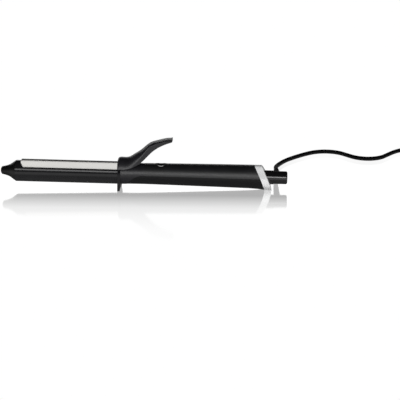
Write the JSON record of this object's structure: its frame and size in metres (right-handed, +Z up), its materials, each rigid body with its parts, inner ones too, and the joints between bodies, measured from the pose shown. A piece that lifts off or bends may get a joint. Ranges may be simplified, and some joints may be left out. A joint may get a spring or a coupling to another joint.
{
  "type": "curling iron",
  "caption": "Hair curling iron with a heated barrel, spring clamp with thumb lever, power button, stand foot and a cord on a swivel.",
  "frame": {"origin": "on the surface it lies on, under the middle of the iron's length, cord left out", "axes": "+X along the iron from the cool tip to the swivel, +Z up, +Y towards the cord's side"},
  "size_m": [0.628, 0.2316, 0.0636],
  "materials": {
    "tip_plastic": "satin",
    "barrel_coating": "glossy ceramic coat",
    "aluminium": "extruded",
    "ceramic": "matt",
    "sensor_glass": "clear",
    "steel": "brushed",
    "lead_copper": "woven sleeve",
    "insulator_plastic": "matt",
    "satin_black": "satin",
    "shell_grey": "fine texture",
    "chrome": "polished",
    "switch_black": "matt",
    "board_green": "satin",
    "board_blue": "gloss",
    "lamp_red": "gloss",
    "capacitor_yellow": "gloss",
    "silver_band": "metallic",
    "brass": "plain",
    "cord_black": "satin",
    "tie_black": "woven",
    "plug_black": "satin",
    "plate_silver": "polished",
    "button_black": "satin",
    "relief_black": "satin"
  },
  "bodies": {
    "root": {"cool_tip": "tip_plastic", "barrel_tube": "barrel_coating", "heat_spreader_upper": "aluminium", "heat_spreader_lower": "aluminium", "heater_plate": "ceramic", "temperature_sensor": "sensor_glass", "thermal_fuse": "steel", "heater_leads": "lead_copper", "sensor_leads": "lead_copper", "barrel_insulator": "insulator_plastic", "stand_ring": "satin_black", "collar": "satin_black", "hinge_bracket": "steel", "bracket_screws": "steel", "torsion_spring": "steel", "upper_shell": "satin_black", "lower_shell": "shell_grey", "shell_screws": "steel", "button_ring": "chrome", "tactile_switch": "switch_black", "circuit_board": "board_green", "indicator_lamp": "lamp_red", "controller_chip": "switch_black", "filter_capacitor": "aluminium", "power_triac": "switch_black", "film_capacitor": "capacitor_yellow", "terminal_block": "board_blue", "supply_leads": "lead_copper", "end_band": "silver_band", "swivel_socket": "satin_black", "contact_brushes": "brass", "cord": "cord_black", "cord_coil": "cord_black", "cord_tie": "tie_black", "cord_tail": "cord_black", "plug_body": "plug_black", "plug_pins": "brass"},
    "clamp": {"clamp_plate": "plate_silver", "clamp_lever": "satin_black", "clamp_rivets": "steel", "hinge_pin": "steel"},
    "power_button": {"power_button": "button_black"},
    "swivel": {"swivel_cap": "satin_black", "swivel_spindle": "insulator_plastic", "slip_rings": "brass", "swivel_clip": "steel", "strain_relief": "relief_black"}
  },
  "joints": [
    {"name": "clamp_hinge", "type": "hinge", "parent": "root", "child": "clamp", "pos_m": [-0.0117, 0, 0.03561], "axis": [0, 1, 0], "range_deg": [0, 20], "stiffness_Nm_per_rad": 0.8, "springref_deg": -22.92, "deforming": ["torsion_spring"]},
    {"name": "power_press", "type": "slide", "parent": "root", "child": "power_button", "axis": [-0.0202, 0, -0.9998], "range_m": [0, 0.0006], "stiffness_N_per_m": 400, "springref_m": -0.0015},
    {"name": "cord_swivel", "type": "hinge", "parent": "root", "child": "swivel", "pos_m": [0.16352, 0, 0.01506], "axis": [0.9998, 0, -0.0202], "continuous": true}
  ]
}
